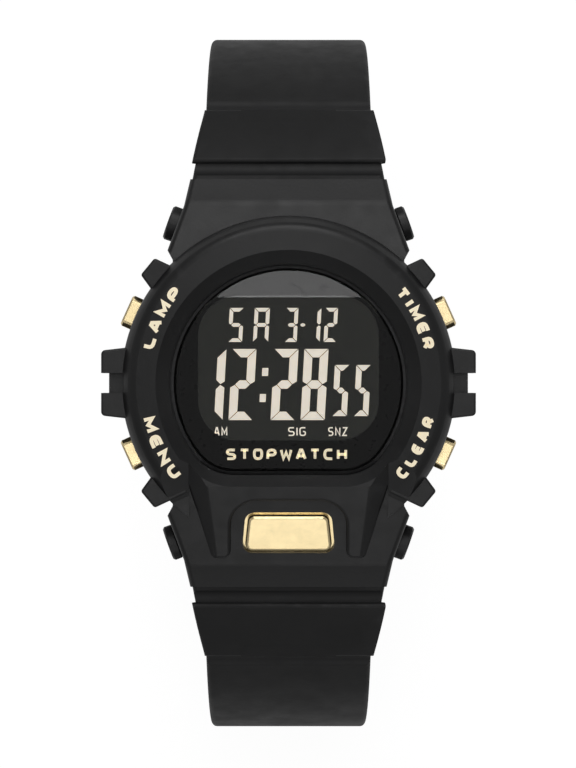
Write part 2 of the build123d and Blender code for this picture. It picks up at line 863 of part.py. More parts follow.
with BuildPart() as backlight_panel:
    with BuildSketch(Plane.XY.offset(module_top_z - backlight_thickness)):
        with Locations((0, window_y)):
            Rectangle(window_length - 2 * backlight_margin, window_width - 2 * backlight_margin)
    extrude(amount=backlight_thickness)
save(backlight_panel.part, "backlight_panel")

strip_y = window_width / 2 + panel_margin - strip_width
with BuildPart() as connector_strips:
    with BuildSketch(Plane.XY.offset(board_top_z)):
        with Locations((0, window_y + strip_y), (0, window_y - strip_y)):
            Rectangle(strip_length, strip_width)
    extrude(amount=module_frame_height)
save(connector_strips.part, "connector_strips")

# Module frame, circuit board and what is on it

with BuildPart() as module_frame:
    extrude(disc(Plane.XY.offset(board_top_z), module_radius), amount=module_frame_height)
    with BuildSketch(Plane.XY.offset(board_top_z)):
        with Locations((0, window_y)):
            Rectangle(cavity_length, cavity_width)
    extrude(amount=cavity_height, mode=Mode.SUBTRACT)
    with BuildSketch(Plane.XY.offset(module_top_z - backlight_thickness)):
        with Locations((0, window_y)):
            Rectangle(
                window_length - 2 * backlight_margin + 2 * fit_gap,
                window_width - 2 * backlight_margin + 2 * fit_gap,
            )
    extrude(amount=backlight_thickness, mode=Mode.SUBTRACT)
    with BuildSketch(Plane.XY.offset(board_top_z)):
        with Locations((0, window_y + strip_y), (0, window_y - strip_y)):
            Rectangle(strip_length + 2 * fit_gap, strip_width + 2 * fit_gap)
    extrude(amount=module_frame_height, mode=Mode.SUBTRACT)
    for angle in pusher_angles:
        with BuildSketch(Plane.XY.offset(board_top_z)):
            with Locations(Location((0, 0, 0), (0, 0, angle))):
                with Locations((module_radius - frame_window_depth / 2, 0)):
                    Rectangle(frame_window_depth + fit_gap, frame_window_width)
        extrude(amount=module_frame_height, mode=Mode.SUBTRACT)
save(module_frame.part, "module_frame")

with BuildPart() as circuit_board:
    extrude(disc(Plane.XY.offset(board_bottom_z), board_radius), amount=board_thickness)
save(circuit_board.part, "circuit_board")

with BuildPart() as processor_chip:
    with BuildSketch(Plane.XY.offset(board_top_z)):
        with Locations((0, window_y)):
            Rectangle(chip_size, chip_size)
    extrude(amount=chip_height)
    chamfer(processor_chip.faces().sort_by(Axis.Z)[-1].edges(), chip_height / 5)
save(processor_chip.part, "processor_chip")

with BuildPart() as quartz_crystal:
    crystal_plane = Plane(
        origin=(crystal_x, crystal_y, board_top_z + crystal_radius),
        x_dir=(1, 0, 0),
        z_dir=(0, 1, 0),
    )
    extrude(disc(crystal_plane, crystal_radius), amount=crystal_length / 2, both=True)
    fillet(quartz_crystal.edges().filter_by(GeomType.CIRCLE), crystal_radius / 4)
save(quartz_crystal.part, "quartz_crystal")

contact_reach = cavity_radius - stem_overhang - pusher_travel - fit_gap
with BuildPart() as switch_contacts:
    for angle in pusher_angles:
        with BuildSketch(Plane.XY.offset(board_top_z)):
            with Locations(Location((0, 0, 0), (0, 0, angle))):
                with Locations((contact_reach - contact_thickness / 2, 0)):
                    Rectangle(contact_thickness, contact_width)
        extrude(amount=contact_height)
    front_leaf_z = holder_bottom_z + front_leaf_lift
    with BuildSketch(Plane.YZ):
        with BuildLine():
            leaf_line = Polyline(
                (-front_leaf_root_y, board_bottom_z),
                (-front_leaf_root_y, front_leaf_z),
                (-front_leaf_reach, front_leaf_z),
                (-front_leaf_reach, front_leaf_z - contact_thickness),
                (-front_leaf_root_y + contact_thickness, front_leaf_z - contact_thickness),
                (-front_leaf_root_y + contact_thickness, board_bottom_z),
                close=True,
            )
        make_face()
    extrude(amount=front_leaf_half, both=True)
save(switch_contacts.part, "switch_contacts")

# Cell, its holder and its clip

with BuildPart() as cell_holder:
    extrude(disc(Plane.XY.offset(holder_bottom_z), module_radius), amount=holder_height)
    with BuildSketch(Plane.XY.offset(holder_bottom_z)):
        with Locations((0, cell_y)):
            Circle(cell_radius + cell_clearance)
    extrude(amount=cell_thickness, mode=Mode.SUBTRACT)
    with BuildSketch(Plane.XY.offset(holder_bottom_z)):
        with Locations((0, buzzer_spring_y)):
            Circle(buzzer_hole_radius)
        with Locations((0, -front_leaf_root_y + 2 * contact_thickness)):
            Rectangle(2 * front_pocket_half, overrun, align=(Align.CENTER, Align.MAX))
    extrude(amount=holder_height, mode=Mode.SUBTRACT)
save(cell_holder.part, "cell_holder")

with BuildPart() as coin_cell:
    with BuildSketch(Plane.XY.offset(holder_bottom_z)):
        with Locations((0, cell_y)):
            Circle(cell_radius)
    extrude(amount=cell_thickness)
    fillet(coin_cell.edges().group_by(Axis.Z)[-1], cell_thickness / 5)
save(coin_cell.part, "coin_cell")

with BuildPart() as battery_clip:
    with BuildSketch(Plane.XY.offset(holder_bottom_z)):
        with Locations((0, cell_y)):
            Rectangle(battery_clip_length, battery_clip_width)
    extrude(amount=-battery_clip_thickness)
save(battery_clip.part, "battery_clip")

with BuildPart() as buzzer_disc:
    with BuildSketch(Plane.XY.offset(case_bottom_z)):
        with Locations((0, buzzer_y)):
            Circle(buzzer_radius)
    extrude(amount=buzzer_thickness)
save(buzzer_disc.part, "buzzer_disc")

buzzer_spring_plane = Plane(origin=(0, buzzer_spring_y, case_bottom_z + buzzer_thickness))
buzzer_spring = coil(buzzer_spring_plane, board_bottom_z - case_bottom_z - buzzer_thickness, spring_turns)
save(buzzer_spring, "buzzer_spring")

# Case back, its gasket and its screws

with BuildPart() as case_back:
    extrude(disc(Plane.XY.offset(case_back_z), back_radius), amount=back_thickness)
    chamfer(case_back.faces().sort_by(Axis.Z)[0].edges(), back_chamfer)
    ring_tool = washer(
        Plane.XY.offset(case_back_z), back_ring_radius, back_ring_radius - back_ring_width, back_ring_depth
    )
    add(ring_tool, mode=Mode.SUBTRACT)
    with BuildSketch(Plane.XY.offset(case_back_z)):
        with PolarLocations(screw_circle, 4, start_angle=45):
            Circle(screw_head_radius + pin_clearance)
    extrude(amount=screw_recess + screw_head_height, mode=Mode.SUBTRACT)
    with BuildSketch(Plane.XY.offset(case_back_z)):
        with PolarLocations(screw_circle, 4, start_angle=45):
            Circle(screw_radius + pin_clearance)
    extrude(amount=back_thickness, mode=Mode.SUBTRACT)
save(case_back.part, "case_back")

case_back_gasket = washer(
    Plane.XY.offset(case_bottom_z),
    cavity_radius + step_width - gasket_gap,
    cavity_radius + gasket_gap,
    step_height,
)
save(case_back_gasket, "case_back_gasket")

with BuildPart() as case_back_screws:
    head_z = case_back_z + screw_recess
    with BuildSketch(Plane.XY.offset(head_z)):
        with PolarLocations(screw_circle, 4, start_angle=45):
            Circle(screw_head_radius)
    extrude(amount=screw_head_height)
    with BuildSketch(Plane.XY.offset(head_z)):
        with PolarLocations(screw_circle, 4, start_angle=45):
            Circle(screw_radius)
    extrude(amount=screw_length)
    with BuildSketch(Plane.XY.offset(head_z)):
        with PolarLocations(screw_circle, 4, start_angle=45):
            Rectangle(2 * screw_head_radius, screw_slot_width)
            Rectangle(screw_slot_width, 2 * screw_head_radius)
    extrude(amount=screw_slot_depth, mode=Mode.SUBTRACT)
save(case_back_screws.part, "case_back_screws")

# Bumpers on the flanks

with BuildPart() as lug_bumpers:
    for side_x in (1, -1):
        for side_y in (1, -1):
            plane = flank_plane(side_x, side_y)
            extrude(disc(plane, bumper_pin_radius), amount=-bumper_pin_length)
            extrude(disc(plane, bumper_radius), amount=bumper_thickness)
    outer_edges = lug_bumpers.edges().filter_by(GeomType.CIRCLE).filter_by(
        lambda edge: edge.radius > bumper_pin_radius + fit_gap
    )
    chamfer(
        outer_edges.filter_by(lambda edge: abs(edge.center().X) > shoulder_bend_half + bumper_thickness),
        bumper_bevel,
    )
save(lug_bumpers.part, "lug_bumpers")

# Side pushers with their springs, seals and clips

cap_inner = pusher_reach - pusher_thickness
stem_inner = cavity_radius - stem_overhang
clip_outer = cavity_radius - fit_gap
for angle, place in zip(pusher_angles, pusher_names):
    with BuildPart() as pusher:
        extrude(pusher_outline(angle, cap_inner, 0), amount=pusher_thickness)
        outward = Axis((0, 0, 0), radial_plane(angle, 0).z_dir)
        chamfer(pusher.faces().sort_by(outward)[-1].edges(), pusher_bevel)
        extrude(disc(radial_plane(angle, stem_inner), stem_radius), amount=cap_inner - stem_inner)
        groove = washer(
            radial_plane(angle, clip_outer - clip_thickness - pin_clearance),
            stem_radius + fit_gap,
            stem_radius - groove_depth,
            clip_thickness + 2 * pin_clearance,
        )
        add(groove, mode=Mode.SUBTRACT)
        with BuildSketch(radial_plane(angle, cap_inner)):
            Rectangle(pusher_seam_width, overrun)
            Rectangle(pusher_seam_width, pusher_height - 2 * pusher_seam_depth, mode=Mode.SUBTRACT)
        extrude(amount=pusher_thickness - pusher_seam_inset, mode=Mode.SUBTRACT)
    save(pusher.part, "pusher_" + place)

    spring_floor = case_radius - spring_depth
    pusher_spring = coil(
        radial_plane(angle, spring_floor + gasket_gap),
        cap_inner - spring_floor - 2 * gasket_gap,
        spring_turns,
    )
    save(pusher_spring, "pusher_spring_" + place)

    with BuildPart() as pusher_clip:
        clip_plane = radial_plane(angle, clip_outer - clip_thickness)
        add(washer(clip_plane, clip_radius, stem_radius - groove_depth + pin_clearance, clip_thickness))
        with BuildSketch(clip_plane):
            with Locations((0, clip_radius)):
                Rectangle(clip_mouth, 2 * clip_radius)
        extrude(amount=clip_thickness, mode=Mode.SUBTRACT)
    save(pusher_clip.part, "pusher_clip_" + place)

with BuildPart() as pusher_seals:
    for angle in pusher_angles:
        add(seal_ring(radial_plane(angle, case_radius - seal_inset - seal_width)))
save(pusher_seals.part, "pusher_seals")

# Front button with its spring and seal

lip_top = guard_lip_thickness + fit_gap
lip_bottom = lip_top + button_lip_thickness
with BuildPart() as front_button:
    extrude(button_outline(lip_top, 0), amount=lip_top + button_proud)
    outward = Axis((0, 0, 0), arch_plane(0, 0).z_dir)
    fillet(front_button.faces().sort_by(outward)[-1].edges(), button_bevel)
    extrude(button_outline(lip_bottom, button_lip), amount=button_lip_thickness)
    extrude(
        disc(arch_plane(button_stem_along, button_stem_depth), stem_radius),
        amount=button_stem_depth - lip_bottom,
    )
save(front_button.part, "front_button")

button_spring_depth_low = button_well_depth + button_spring_depth - gasket_gap
button_spring = coil(
    arch_plane(button_stem_along, button_spring_depth_low),
    button_spring_depth_low - lip_bottom - gasket_gap,
    spring_turns,
)
save(button_spring, "front_button_spring")

button_seal = seal_ring(arch_plane(button_stem_along, button_well_depth + seal_inset + seal_width))
save(button_seal, "front_button_seal")

# Strap halves


def arm_rise(reach, start_z):
    """The height of a half-ellipse of one reach that meets the strap's start at one height."""
    return (start_z - loop_middle_z) / sqrt(1 - (strap_start_y / reach) ** 2)


inner_reach = loop_reach - arm_thickness
outer_rise = arm_rise(loop_reach, strap_start_z)
inner_rise = arm_rise(inner_reach, strap_start_z - arm_end_height)
step_z = loop_middle_z + outer_rise * sqrt(1 - (plate_step_y / loop_reach) ** 2)
taper_share = (strap_step_half - strap_half) / (step_z - strap_run_height)
strap_foot_half = strap_half - taper_share * strap_run_height
strap_flare_z = strap_start_z + 2 * plate_height
strap_flare_half = strap_end_half + 2 * plate_height * strap_flare_share


def width_outline(margin):
    """The strap's widths seen from the front, grown by a margin."""
    with BuildSketch(Plane.XZ) as outline:
        with BuildLine():
            Polyline(
                (0, -overrun),
                (strap_foot_half + margin, -overrun),
                (strap_foot_half + margin, 0),
                (strap_step_half + margin, step_z),
            )
            Bezier(
                (strap_step_half + margin, step_z),
                (strap_step_half + margin + taper_share * plate_height, step_z + plate_height),
                (strap_end_half + margin - strap_flare_share * plate_inset, strap_start_z - plate_inset),
                (strap_flare_half + margin, strap_flare_z),
            )
            Polyline(
                (strap_flare_half + margin, strap_flare_z),
                (strap_flare_half + margin, overrun),
                (0, overrun),
            )
            mirror(about=Plane.YZ)
        make_face()
    return outline.sketch


def long_edges(piece):
    """The edges that run along a strap's sides."""
    return piece.edges().filter_by(
        lambda edge: abs(edge.tangent_at(0.5).X) < 0.5 and edge.length > arm_end_height + plate_height
    )


def valley_centre(along_y):
    """The centre of a round-bottomed valley across the strap's outer surface."""
    surface_z = loop_middle_z + outer_rise * sqrt(1 - (along_y / loop_reach) ** 2)
    slope_y = along_y / loop_reach**2
    slope_z = (surface_z - loop_middle_z) / outer_rise**2
    steepness = sqrt(slope_y**2 + slope_z**2)
    lift = valley_radius - valley_depth
    return (along_y + lift * slope_y / steepness, surface_z + lift * slope_z / steepness)


def strap_loop(bottom_z, top_z, end_y, tip_radius):
    """A strap half on the +Y side, from the shoulder round to the flat run under the wrist."""
    with BuildPart() as loop:
        with BuildSketch(Plane.YZ):
            with BuildLine():
                EllipticalCenterArc((0, loop_middle_z), loop_reach, outer_rise, 0, arc_size=90)
                Line((0, loop_middle_z + outer_rise), (0, loop_middle_z + inner_rise))
                EllipticalCenterArc((0, loop_middle_z), inner_reach, inner_rise, 0, arc_size=90)
                EllipticalCenterArc(
                    (run_reach, loop_middle_z),
                    loop_reach - run_reach,
                    loop_middle_z - bottom_z,
                    270,
                    arc_size=90,
                )
                Line((run_reach, bottom_z), (end_y, bottom_z))
                Line((end_y, bottom_z), (end_y, top_z))
                Line((end_y, top_z), (run_reach, top_z))
                EllipticalCenterArc(
                    (run_reach, loop_middle_z),
                    inner_reach - run_reach,
                    loop_middle_z - top_z,
                    270,
                    arc_size=90,
                )
            make_face()
            with Locations((strap_start_y, loop_middle_z)):
                Rectangle(overrun, overrun, align=(Align.MAX, Align.MIN), mode=Mode.SUBTRACT)
        extrude(amount=overrun, both=True)
        extrude(width_outline(0), amount=overrun, both=True, mode=Mode.INTERSECT)
        if tip_radius > 0:
            tip_edges = loop.faces().sort_by(Axis.Y)[0].edges()
            fillet(tip_edges.filter_by(lambda edge: abs(edge.tangent_at(0.5).Z) > 0.9), tip_radius)
        fillet(long_edges(loop), strap_edge_round)
        with BuildSketch(Plane.YZ):
            for valley_y in (plate_start_y - valley_offset, plate_step_y + valley_offset):
                with Locations(valley_centre(valley_y)):
                    Circle(valley_radius)
        extrude(amount=overrun, both=True, mode=Mode.SUBTRACT)
    return loop.part


def ellipse_drum(grow):
    """All that lies under the strap's outer surface, grown by a margin."""
    with BuildPart() as drum:
        with BuildSketch(Plane.YZ):
            with Locations((0, loop_middle_z)):
                Ellipse(loop_reach + grow, outer_rise + grow)
        extrude(amount=overrun, both=True)
    return drum.part


def strap_plate():
    """The raised stretch of the strap next to the shoulder, with a shallow mark at its step."""
    with BuildPart() as plate:
        with BuildSketch(Plane.XY.offset(loop_middle_z)):
            with Locations(((0, (plate_start_y + plate_step_y) / 2))):
                Rectangle(overrun, plate_step_y - plate_start_y)
        extrude(amount=overrun)
        add(ellipse_drum(plate_height), mode=Mode.INTERSECT)
        add(ellipse_drum(-arm_thickness / 2), mode=Mode.SUBTRACT)
        extrude(width_outline(plate_side), amount=overrun, both=True, mode=Mode.INTERSECT)
        top_face = plate.faces().filter_by(lambda face: face.normal_at().Z > 0.3).sort_by(Axis.Z)[-1]
        fillet(top_face.edges(), plate_round)
        with BuildPart(mode=Mode.PRIVATE) as mark:
            with BuildSketch(Plane.XY.offset(loop_middle_z)):
                Polygon(
                    (-mark_half + mark_taper, plate_step_y - mark_length),
                    (mark_half - mark_taper, plate_step_y - mark_length),
                    (mark_half, plate_step_y + fit_gap),
                    (-mark_half, plate_step_y + fit_gap),
                    align=None,
                )
            extrude(amount=overrun)
            add(ellipse_drum(plate_height - mark_depth), mode=Mode.SUBTRACT)
        add(mark.part, mode=Mode.SUBTRACT)
    return plate.part


with BuildPart() as strap_short:
    add(strap_loop(short_bottom_z, short_top_z, hinge_y, 0))
    add(strap_plate())
    add(strap_tongue(0))
    with BuildSketch(Plane.YZ):
        with Locations((hinge_y, hinge_z)):
            Circle(knuckle_radius)
    extrude(amount=strap_half, both=True)
    with BuildSketch(Plane.YZ):
        with Locations((hinge_y, hinge_z), (lug_bar_y, lug_bar_z)):
            Circle(bar_radius + pin_clearance)
    extrude(amount=overrun, both=True, mode=Mode.SUBTRACT)
    with BuildSketch(Plane.XY):
        with Locations((0, hinge_y)):
            Rectangle(
                buckle_tongue_width + 2 * buckle_slot_gap, 2 * knuckle_radius + 2 * buckle_slot_gap
            )
    extrude(amount=loop_middle_z, mode=Mode.SUBTRACT)
save(strap_short.part, "strap_short")

long_loop = strap_loop(tail_bottom_z, tail_top_z, -tail_reach, tail_tip_radius)
with BuildPart() as strap_long:
    add(mirror(long_loop, about=Plane.XZ, mode=Mode.PRIVATE))
    add(mirror(strap_plate(), about=Plane.XZ, mode=Mode.PRIVATE))
    add(mirror(strap_tongue(0), about=Plane.XZ, mode=Mode.PRIVATE))
    with BuildSketch(Plane.YZ):
        with Locations((-lug_bar_y, lug_bar_z)):
            Circle(bar_radius + pin_clearance)
    extrude(amount=overrun, both=True, mode=Mode.SUBTRACT)
    with BuildSketch(Plane.XY):
        for step in range(-slots_towards_case, slots_towards_tip + 1):
            with Locations((0, slot_y + step * slot_pitch)):
                RectangleRounded(slot_width, slot_length, slot_width / 4)
    extrude(amount=loop_middle_z / 2, mode=Mode.SUBTRACT)
save(strap_long.part, "strap_long")

# Spring bars

bar_half = horn_inner - fit_gap
for name, side in (("lug_spring_bar_upper", 1), ("lug_spring_bar_lower", -1)):
    save(spring_bar(side * lug_bar_y, lug_bar_z, bar_half, horn_inner + bar_tip_length), name)
frame_inner = strap_half + frame_gap
buckle_bar = spring_bar(hinge_y, hinge_z, frame_inner - fit_gap, frame_inner + bar_tip_length)
save(buckle_bar, "buckle_spring_bar")

# Buckle frame and tongue

bar_centre_z = buckle_bar_thickness / 2
with BuildPart() as buckle_frame:
    for side in (1, -1):
        with BuildSketch(Plane.YZ.offset(side * (frame_inner + frame_arm_thickness / 2))):
            with BuildLine():
                CenterArc((hinge_y, hinge_z), frame_eye_radius, 0, 360)
                CenterArc((-front_bar_reach, bar_centre_z), bar_centre_z, 0, 360)
            make_hull()
        extrude(amount=frame_arm_thickness / 2, both=True)
    with BuildSketch(Plane.YZ):
        with Locations((-front_bar_reach, bar_centre_z)):
            RectangleRounded(front_bar_width, buckle_bar_thickness, frame_edge_round)
    extrude(amount=frame_inner + frame_arm_thickness, both=True)
    with BuildSketch(Plane.YZ):
        with Locations((hinge_y, hinge_z)):
            Circle(bar_tip_radius + pin_clearance)
    extrude(amount=frame_inner + bar_tip_length + fit_gap, both=True, mode=Mode.SUBTRACT)
    with BuildSketch(Plane.XY):
        with Locations((0, -front_bar_reach)):
            Rectangle(buckle_tongue_width + 2 * buckle_slot_gap, 2 * front_bar_width)
    extrude(amount=frame_notch_depth, mode=Mode.SUBTRACT)
save(buckle_frame.part, "buckle_frame")

eye_radius = bar_radius + pin_clearance + buckle_tongue_thickness
tongue_high_z = hinge_z - bar_radius - pin_clearance - buckle_tongue_thickness / 2
tongue_low_z = tongue_floor_gap + buckle_tongue_thickness / 2
with BuildPart() as buckle_tongue:
    with BuildSketch(Plane.YZ):
        with Locations((hinge_y, hinge_z)):
            Circle(eye_radius)
    extrude(amount=buckle_tongue_width / 2, both=True)
    with BuildLine(Plane.YZ) as tongue_path:
        FilletPolyline(
            (hinge_y, tongue_high_z),
            (tongue_bend_y, tongue_high_z),
            (tongue_drop_y, tongue_low_z),
            (-tongue_tip_reach, tongue_low_z),
            radius=tongue_bend_radius,
        )
    with BuildSketch(Plane(origin=(0, hinge_y, tongue_high_z), x_dir=(1, 0, 0), z_dir=(0, -1, 0))):
        Rectangle(buckle_tongue_width, buckle_tongue_thickness)
    sweep(path=tongue_path.line)
    with BuildSketch(Plane.YZ):
        with Locations((hinge_y, hinge_z)):
            Circle(bar_radius + pin_clearance)
    extrude(amount=overrun, both=True, mode=Mode.SUBTRACT)
save(buckle_tongue.part, "buckle_tongue")

# Keepers


def keeper(centre_y, width, gap, name):
    """A band round both straps, with a gap to the straps."""
    inner_half = strap_half + gap
    inner_top_z = short_top_z + gap
    outer_top_z = inner_top_z + keeper_wall
    inner_height = inner_top_z - buckle_bar_thickness
    with BuildPart() as band:
        with BuildSketch(Plane.XZ.offset(-centre_y)):
            with Locations((0, outer_top_z / 2)):
                RectangleRounded(2 * (inner_half + keeper_wall), outer_top_z, keeper_corner_radius)
        extrude(amount=width / 2, both=True)
        end_faces = band.faces().filter_by(Axis.Y)
        fillet(end_faces.edges(), keeper_edge_round)
        with BuildSketch(Plane.XZ.offset(-centre_y)):
            with Locations((0, buckle_bar_thickness + inner_height / 2)):
                Rectangle(2 * inner_half, inner_height)
        extrude(amount=overrun, both=True, mode=Mode.SUBTRACT)
    save(band.part, name)


keeper(fixed_keeper_y, fixed_keeper_width, 0, "fixed_keeper")
keeper(free_keeper_y, free_keeper_width, keeper_gap, "free_keeper")
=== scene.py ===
import bpy
import json
from math import cos, hypot, pi, radians, sin
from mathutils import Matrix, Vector


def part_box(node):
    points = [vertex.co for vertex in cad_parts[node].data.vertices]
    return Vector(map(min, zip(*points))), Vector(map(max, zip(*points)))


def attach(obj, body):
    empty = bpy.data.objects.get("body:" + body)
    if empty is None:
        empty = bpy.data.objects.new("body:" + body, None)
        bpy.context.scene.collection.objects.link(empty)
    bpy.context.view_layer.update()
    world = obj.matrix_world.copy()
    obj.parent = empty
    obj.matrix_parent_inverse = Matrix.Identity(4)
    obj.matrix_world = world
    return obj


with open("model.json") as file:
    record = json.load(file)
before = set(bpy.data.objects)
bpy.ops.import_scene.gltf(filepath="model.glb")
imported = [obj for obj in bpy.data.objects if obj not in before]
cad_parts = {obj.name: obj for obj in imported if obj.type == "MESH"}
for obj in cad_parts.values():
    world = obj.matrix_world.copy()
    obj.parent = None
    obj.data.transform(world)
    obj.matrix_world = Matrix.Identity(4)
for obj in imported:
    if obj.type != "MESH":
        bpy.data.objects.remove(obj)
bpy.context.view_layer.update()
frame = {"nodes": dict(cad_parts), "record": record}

MM = 0.001
scene = bpy.context.scene
scene.view_settings.view_transform = "Standard"

# Tops of the CAD nodes that carry print, in metres
MASK_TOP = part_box("dial_mask")[1][2]
LCD_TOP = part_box("lcd_panel")[1][2]
GUARD_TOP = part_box("bezel_guard")[1][2]

# Camera, straight above the dial: 0.11 mm to a pixel at the guard's top
CAMERA_RISE = 0.5
PIXEL = 0.11 * MM
WIDTH, HEIGHT = 576, 768
MIDDLE = (288.5, 383.0)
SENSOR = 36.0
NEAREST, FURTHEST = 0.01, 20.0
camera_data = bpy.data.cameras.new("camera")
camera_data.sensor_width = SENSOR
camera_data.sensor_fit = "AUTO"
camera_data.lens = SENSOR * CAMERA_RISE / (PIXEL * HEIGHT)
camera_data.clip_start = NEAREST
camera_data.clip_end = FURTHEST
camera = bpy.data.objects.new("camera", camera_data)
camera.location = (
    (WIDTH / 2 - MIDDLE[0]) * PIXEL,
    (MIDDLE[1] - HEIGHT / 2) * PIXEL,
    GUARD_TOP + CAMERA_RISE,
)
scene.collection.objects.link(camera)
scene.camera = camera


def spot(px, py, z):
    """The place at a height that the photograph shows at a pixel."""
    spread = PIXEL * (camera.location.z - z) / CAMERA_RISE
    return (
        camera.location.x + (px - WIDTH / 2) * spread,
        camera.location.y + (HEIGHT / 2 - py) * spread,
    )


# Materials, with the depths of their bumps from fine grain to moulding flow
FINE_DEPTH = 0.02 * MM
GRAIN_DEPTH = 0.03 * MM
FLOW_DEPTH = 0.08 * MM


def new_material(name):
    material = bpy.data.materials.new(name)
    material.use_nodes = True
    tree = material.node_tree
    shader = tree.nodes["Principled BSDF"]
    return material, tree, shader


def node(tree, kind, **values):
    made = tree.nodes.new(kind)
    for key, value in values.items():
        setattr(made, key, value)
    return made


def object_coordinates(tree):
    return node(tree, "ShaderNodeTexCoord").outputs["Object"]


def noise(tree, vector, scale, detail=3.0, roughness=0.55):
    made = node(tree, "ShaderNodeTexNoise")
    made.inputs["Scale"].default_value = scale
    made.inputs["Detail"].default_value = detail
    made.inputs["Roughness"].default_value = roughness
    tree.links.new(vector, made.inputs["Vector"])
    return made.outputs["Fac"]


def spread(tree, value, low, high, from_low=0.3, from_high=0.7):
    made = node(tree, "ShaderNodeMapRange")
    made.inputs["From Min"].default_value = from_low
    made.inputs["From Max"].default_value = from_high
    made.inputs["To Min"].default_value = low
    made.inputs["To Max"].default_value = high
    tree.links.new(value, made.inputs["Value"])
    return made.outputs["Result"]


def ramp(tree, value, stops):
    made = node(tree, "ShaderNodeValToRGB")
    elements = made.color_ramp.elements
    elements[0].position, elements[0].color = stops[0][0], (*stops[0][1], 1)
    elements[1].position, elements[1].color = stops[1][0], (*stops[1][1], 1)
    tree.links.new(value, made.inputs["Fac"])
    return made.outputs["Color"]


def bump(tree, value, strength, distance, after=None):
    made = node(tree, "ShaderNodeBump")
    made.inputs["Strength"].default_value = strength
    made.inputs["Distance"].default_value = distance
    tree.links.new(value, made.inputs["Height"])
    if after is not None:
        tree.links.new(after, made.inputs["Normal"])
    return made.outputs["Normal"]


def resin(name, colour, rough, specular, grain=2600.0, grain_depth=0.35):
    """Moulded resin: a fine matt grain, faint flow marks and a painted highlight that makes convex edges a
    little lighter.
    """
    material, tree, shader = new_material(name)
    place = object_coordinates(tree)
    cloud = noise(tree, place, 90.0, 4.0)
    dark = tuple(0.86 * c for c in colour)
    light = tuple(1.16 * c for c in colour)
    tone = ramp(tree, cloud, [(0.3, dark), (0.7, light)])
    # Painted highlight: convex edges, found by pointiness, get a lighter base colour
    edge = node(tree, "ShaderNodeNewGeometry").outputs["Pointiness"]
    edge_highlight_mask = spread(tree, edge, 0.0, 1.0, 0.52, 0.60)
    edge_highlight = node(tree, "ShaderNodeMix", data_type="RGBA")
    edge_highlight.inputs["B"].default_value = (*[1.7 * c for c in colour], 1)
    tree.links.new(edge_highlight_mask, edge_highlight.inputs["Factor"])
    tree.links.new(tone, edge_highlight.inputs["A"])
    tree.links.new(edge_highlight.outputs["Result"], shader.inputs["Base Color"])
    streak = noise(tree, place, 420.0, 2.0)
    tree.links.new(spread(tree, streak, rough - 0.05, rough + 0.06), shader.inputs["Roughness"])
    fine = noise(tree, place, grain, 2.0)
    broad = noise(tree, place, grain / 9.0, 2.0)
    first = bump(tree, fine, grain_depth, GRAIN_DEPTH)
    tree.links.new(bump(tree, broad, grain_depth * 0.5, FLOW_DEPTH, first), shader.inputs["Normal"])
    shader.inputs["Specular IOR Level"].default_value = specular
    return material


def metal(name, colour, rough, grain=1500.0, depth=0.15, streaks=(1.0, 1.0, 1.0), radial=False):
    """Metal with fine brushing: streaks stretch the grain, radial turns it round the Z axis."""
    material, tree, shader = new_material(name)
    place = object_coordinates(tree)
    if radial:
        parts = node(tree, "ShaderNodeSeparateXYZ")
        tree.links.new(place, parts.inputs["Vector"])
        flat = node(tree, "ShaderNodeCombineXYZ")
        tree.links.new(parts.outputs["X"], flat.inputs["X"])
        tree.links.new(parts.outputs["Y"], flat.inputs["Y"])
        length = node(tree, "ShaderNodeVectorMath", operation="LENGTH")
        tree.links.new(flat.outputs["Vector"], length.inputs[0])
        turned = node(tree, "ShaderNodeCombineXYZ")
        tree.links.new(length.outputs["Value"], turned.inputs["X"])
        tree.links.new(parts.outputs["Z"], turned.inputs["Y"])
        brushed = turned.outputs["Vector"]
    else:
        mapping = node(tree, "ShaderNodeMapping")
        mapping.inputs["Scale"].default_value = streaks
        tree.links.new(place, mapping.inputs["Vector"])
        brushed = mapping.outputs["Vector"]
    lines = noise(tree, brushed, grain, 4.0, 0.65)
    cloud = noise(tree, place, 160.0, 3.0)
    dark = tuple(0.9 * c for c in colour)
    light = tuple(min(1.0, 1.07 * c) for c in colour)
    tree.links.new(ramp(tree, cloud, [(0.3, dark), (0.7, light)]), shader.inputs["Base Color"])
    tree.links.new(spread(tree, lines, rough * 0.8, rough * 1.3), shader.inputs["Roughness"])
    tree.links.new(bump(tree, lines, depth, FINE_DEPTH), shader.inputs["Normal"])
    shader.inputs["Metallic"].default_value = 1.0
    return material


def plastic(name, colour, rough, grain=1800.0, depth=0.12):
    """Plain moulded or coated plastic with a faint grain and mottling."""
    material, tree, shader = new_material(name)
    place = object_coordinates(tree)
    cloud = noise(tree, place, 220.0, 3.0)
    dark = tuple(0.9 * c for c in colour)
    light = tuple(min(1.0, 1.1 * c) for c in colour)
    tree.links.new(ramp(tree, cloud, [(0.3, dark), (0.7, light)]), shader.inputs["Base Color"])
    fine = noise(tree, place, grain, 2.0)
    tree.links.new(spread(tree, fine, rough * 0.85, rough * 1.2), shader.inputs["Roughness"])
    tree.links.new(bump(tree, fine, depth, FINE_DEPTH), shader.inputs["Normal"])
    return material


def glass(name):
    """Clear polished mineral glass, its tint a hair uneven."""
    material, tree, shader = new_material(name)
    place = object_coordinates(tree)
    shader.inputs["Roughness"].default_value = 0.0
    tint = noise(tree, place, 60.0, 2.0)
    shade = ramp(tree, tint, [(0.3, (0.97, 0.98, 0.98)), (0.7, (1, 1, 1))])
    tree.links.new(shade, shader.inputs["Base Color"])
    shader.inputs["Transmission Weight"].default_value = 1.0
    shader.inputs["IOR"].default_value = 1.5
    return material


